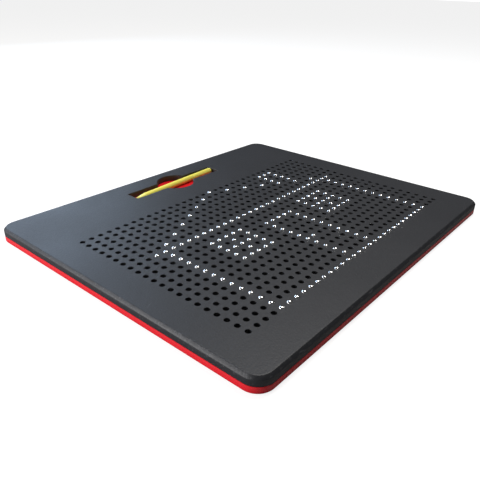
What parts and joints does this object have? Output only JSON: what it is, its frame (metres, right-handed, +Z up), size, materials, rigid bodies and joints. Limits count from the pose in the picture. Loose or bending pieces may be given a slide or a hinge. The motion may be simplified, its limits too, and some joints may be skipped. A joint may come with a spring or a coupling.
{
  "type": "magnetic drawing board",
  "caption": "Flat rounded tablet with a grid of round holes, steel balls that slide up and down in their cells, and a loose magnetic stylus lying in a tray with a finger notch.",
  "frame": {"origin": "centre of the flat underside", "axes": "+X along the long side, to the right when the drawing is read; +Y towards the edge with the stylus tray; +Z up, out of the perforated face"},
  "size_m": [0.321, 0.2644, 0.0124],
  "materials": {
    "case_black": "fine spark-eroded grain, dark grey-black",
    "case_red": "semi-gloss bright red",
    "cell_plate_grey": "plain moulded, hidden",
    "magnetic_sheet": "matt bonded ferrite sheet, hidden",
    "ball_steel": "polished steel ball",
    "stylus_yellow": "smooth bright yellow",
    "magnet_nickel": "nickel plate, hidden",
    "screw_zinc": "bright zinc plate"
  },
  "bodies": {
    "case": {"front_shell": "case_black", "back_shell": "case_red", "cell_plate": "cell_plate_grey", "backing_sheet": "magnetic_sheet", "case_screw_1": "screw_zinc", "case_screw_2": "screw_zinc", "case_screw_3": "screw_zinc", "case_screw_4": "screw_zinc", "case_screw_5": "screw_zinc", "case_screw_6": "screw_zinc"},
    "stylus": {"stylus_barrel": "stylus_yellow", "stylus_magnet": "magnet_nickel", "stylus_plug": "stylus_yellow"},
    "ball_r00_c17": {"steel_ball_r00_c17": "ball_steel"},
    "ball_r01_c15": {"steel_ball_r01_c15": "ball_steel"},
    "ball_r01_c19": {"steel_ball_r01_c19": "ball_steel"},
    "ball_r01_c25": {"steel_ball_r01_c25": "ball_steel"},
    "ball_r01_c26": {"steel_ball_r01_c26": "ball_steel"},
    "ball_r01_c27": {"steel_ball_r01_c27": "ball_steel"},
    "ball_r02_c13": {"steel_ball_r02_c13": "ball_steel"},
    "ball_r02_c21": {"steel_ball_r02_c21": "ball_steel"},
    "ball_r02_c25": {"steel_ball_r02_c25": "ball_steel"},
    "ball_r02_c27": {"steel_ball_r02_c27": "ball_steel"},
    "ball_r03_c11": {"steel_ball_r03_c11": "ball_steel"},
    "ball_r03_c23": {"steel_ball_r03_c23": "ball_steel"},
    "ball_r03_c25": {"steel_ball_r03_c25": "ball_steel"},
    "ball_r03_c27": {"steel_ball_r03_c27": "ball_steel"},
    "ball_r04_c09": {"steel_ball_r04_c09": "ball_steel"},
    "ball_r04_c25": {"steel_ball_r04_c25": "ball_steel"},
    "ball_r04_c27": {"steel_ball_r04_c27": "ball_steel"},
    "ball_r05_c07": {"steel_ball_r05_c07": "ball_steel"},
    "ball_r05_c27": {"steel_ball_r05_c27": "ball_steel"},
    "ball_r06_c05": {"steel_ball_r06_c05": "ball_steel"},
    "ball_r06_c29": {"steel_ball_r06_c29": "ball_steel"},
    "ball_r09_c08": {"steel_ball_r09_c08": "ball_steel"},
    "ball_r09_c09": {"steel_ball_r09_c09": "ball_steel"},
    "ball_r09_c10": {"steel_ball_r09_c10": "ball_steel"},
    "ball_r09_c11": {"steel_ball_r09_c11": "ball_steel"},
    "ball_r09_c12": {"steel_ball_r09_c12": "ball_steel"},
    "ball_r10_c08": {"steel_ball_r10_c08": "ball_steel"},
    "ball_r10_c10": {"steel_ball_r10_c10": "ball_steel"},
    "ball_r10_c12": {"steel_ball_r10_c12": "ball_steel"},
    "ball_r11_c08": {"steel_ball_r11_c08": "ball_steel"},
    "ball_r11_c09": {"steel_ball_r11_c09": "ball_steel"},
    "ball_r11_c10": {"steel_ball_r11_c10": "ball_steel"},
    "ball_r11_c11": {"steel_ball_r11_c11": "ball_steel"},
    "ball_r11_c12": {"steel_ball_r11_c12": "ball_steel"},
    "ball_r12_c08": {"steel_ball_r12_c08": "ball_steel"},
    "ball_r12_c10": {"steel_ball_r12_c10": "ball_steel"},
    "ball_r12_c12": {"steel_ball_r12_c12": "ball_steel"},
    "ball_r13_c08": {"steel_ball_r13_c08": "ball_steel"},
    "ball_r13_c09": {"steel_ball_r13_c09": "ball_steel"},
    "ball_r13_c10": {"steel_ball_r13_c10": "ball_steel"},
    "ball_r13_c11": {"steel_ball_r13_c11": "ball_steel"},
    "ball_r13_c12": {"steel_ball_r13_c12": "ball_steel"}
  },
  "joints": [
    {"name": "stylus_lift", "type": "slide", "parent": "case", "child": "stylus", "axis": [0, 0, 1], "range_m": [0, 0.03]},
    {"name": "ball_r00_c17_slide", "type": "slide", "parent": "case", "child": "ball_r00_c17", "axis": [0, 0, 1], "range_m": [-0.0043, 0]},
    {"name": "ball_r01_c15_slide", "type": "slide", "parent": "case", "child": "ball_r01_c15", "axis": [0, 0, 1], "range_m": [-0.0043, 0]},
    {"name": "ball_r01_c19_slide", "type": "slide", "parent": "case", "child": "ball_r01_c19", "axis": [0, 0, 1], "range_m": [-0.0043, 0]},
    {"name": "ball_r01_c25_slide", "type": "slide", "parent": "case", "child": "ball_r01_c25", "axis": [0, 0, 1], "range_m": [-0.0043, 0]},
    {"name": "ball_r01_c26_slide", "type": "slide", "parent": "case", "child": "ball_r01_c26", "axis": [0, 0, 1], "range_m": [-0.0043, 0]},
    {"name": "ball_r01_c27_slide", "type": "slide", "parent": "case", "child": "ball_r01_c27", "axis": [0, 0, 1], "range_m": [-0.0043, 0]},
    {"name": "ball_r02_c13_slide", "type": "slide", "parent": "case", "child": "ball_r02_c13", "axis": [0, 0, 1], "range_m": [-0.0043, 0]},
    {"name": "ball_r02_c21_slide", "type": "slide", "parent": "case", "child": "ball_r02_c21", "axis": [0, 0, 1], "range_m": [-0.0043, 0]},
    {"name": "ball_r02_c25_slide", "type": "slide", "parent": "case", "child": "ball_r02_c25", "axis": [0, 0, 1], "range_m": [-0.0043, 0]},
    {"name": "ball_r02_c27_slide", "type": "slide", "parent": "case", "child": "ball_r02_c27", "axis": [0, 0, 1], "range_m": [-0.0043, 0]},
    {"name": "ball_r03_c11_slide", "type": "slide", "parent": "case", "child": "ball_r03_c11", "axis": [0, 0, 1], "range_m": [-0.0043, 0]},
    {"name": "ball_r03_c23_slide", "type": "slide", "parent": "case", "child": "ball_r03_c23", "axis": [0, 0, 1], "range_m": [-0.0043, 0]},
    {"name": "ball_r03_c25_slide", "type": "slide", "parent": "case", "child": "ball_r03_c25", "axis": [0, 0, 1], "range_m": [-0.0043, 0]},
    {"name": "ball_r03_c27_slide", "type": "slide", "parent": "case", "child": "ball_r03_c27", "axis": [0, 0, 1], "range_m": [-0.0043, 0]},
    {"name": "ball_r04_c09_slide", "type": "slide", "parent": "case", "child": "ball_r04_c09", "axis": [0, 0, 1], "range_m": [-0.0043, 0]},
    {"name": "ball_r04_c25_slide", "type": "slide", "parent": "case", "child": "ball_r04_c25", "axis": [0, 0, 1], "range_m": [-0.0043, 0]},
    {"name": "ball_r04_c27_slide", "type": "slide", "parent": "case", "child": "ball_r04_c27", "axis": [0, 0, 1], "range_m": [-0.0043, 0]},
    {"name": "ball_r05_c07_slide", "type": "slide", "parent": "case", "child": "ball_r05_c07", "axis": [0, 0, 1], "range_m": [-0.0043, 0]},
    {"name": "ball_r05_c27_slide", "type": "slide", "parent": "case", "child": "ball_r05_c27", "axis": [0, 0, 1], "range_m": [-0.0043, 0]},
    {"name": "ball_r06_c05_slide", "type": "slide", "parent": "case", "child": "ball_r06_c05", "axis": [0, 0, 1], "range_m": [-0.0043, 0]},
    {"name": "ball_r06_c29_slide", "type": "slide", "parent": "case", "child": "ball_r06_c29", "axis": [0, 0, 1], "range_m": [-0.0043, 0]},
    {"name": "ball_r09_c08_slide", "type": "slide", "parent": "case", "child": "ball_r09_c08", "axis": [0, 0, 1], "range_m": [-0.0043, 0]},
    {"name": "ball_r09_c09_slide", "type": "slide", "parent": "case", "child": "ball_r09_c09", "axis": [0, 0, 1], "range_m": [-0.0043, 0]},
    {"name": "ball_r09_c10_slide", "type": "slide", "parent": "case", "child": "ball_r09_c10", "axis": [0, 0, 1], "range_m": [-0.0043, 0]},
    {"name": "ball_r09_c11_slide", "type": "slide", "parent": "case", "child": "ball_r09_c11", "axis": [0, 0, 1], "range_m": [-0.0043, 0]},
    {"name": "ball_r09_c12_slide", "type": "slide", "parent": "case", "child": "ball_r09_c12", "axis": [0, 0, 1], "range_m": [-0.0043, 0]},
    {"name": "ball_r10_c08_slide", "type": "slide", "parent": "case", "child": "ball_r10_c08", "axis": [0, 0, 1], "range_m": [-0.0043, 0]},
    {"name": "ball_r10_c10_slide", "type": "slide", "parent": "case", "child": "ball_r10_c10", "axis": [0, 0, 1], "range_m": [-0.0043, 0]},
    {"name": "ball_r10_c12_slide", "type": "slide", "parent": "case", "child": "ball_r10_c12", "axis": [0, 0, 1], "range_m": [-0.0043, 0]},
    {"name": "ball_r11_c08_slide", "type": "slide", "parent": "case", "child": "ball_r11_c08", "axis": [0, 0, 1], "range_m": [-0.0043, 0]},
    {"name": "ball_r11_c09_slide", "type": "slide", "parent": "case", "child": "ball_r11_c09", "axis": [0, 0, 1], "range_m": [-0.0043, 0]},
    {"name": "ball_r11_c10_slide", "type": "slide", "parent": "case", "child": "ball_r11_c10", "axis": [0, 0, 1], "range_m": [-0.0043, 0]},
    {"name": "ball_r11_c11_slide", "type": "slide", "parent": "case", "child": "ball_r11_c11", "axis": [0, 0, 1], "range_m": [-0.0043, 0]},
    {"name": "ball_r11_c12_slide", "type": "slide", "parent": "case", "child": "ball_r11_c12", "axis": [0, 0, 1], "range_m": [-0.0043, 0]},
    {"name": "ball_r12_c08_slide", "type": "slide", "parent": "case", "child": "ball_r12_c08", "axis": [0, 0, 1], "range_m": [-0.0043, 0]},
    {"name": "ball_r12_c10_slide", "type": "slide", "parent": "case", "child": "ball_r12_c10", "axis": [0, 0, 1], "range_m": [-0.0043, 0]},
    {"name": "ball_r12_c12_slide", "type": "slide", "parent": "case", "child": "ball_r12_c12", "axis": [0, 0, 1], "range_m": [-0.0043, 0]},
    {"name": "ball_r13_c08_slide", "type": "slide", "parent": "case", "child": "ball_r13_c08", "axis": [0, 0, 1], "range_m": [-0.0043, 0]},
    {"name": "ball_r13_c09_slide", "type": "slide", "parent": "case", "child": "ball_r13_c09", "axis": [0, 0, 1], "range_m": [-0.0043, 0]},
    {"name": "ball_r13_c10_slide", "type": "slide", "parent": "case", "child": "ball_r13_c10", "axis": [0, 0, 1], "range_m": [-0.0043, 0]},
    {"name": "ball_r13_c11_slide", "type": "slide", "parent": "case", "child": "ball_r13_c11", "axis": [0, 0, 1], "range_m": [-0.0043, 0]},
    {"name": "ball_r13_c12_slide", "type": "slide", "parent": "case", "child": "ball_r13_c12", "axis": [0, 0, 1], "range_m": [-0.0043, 0]}
  ]
}
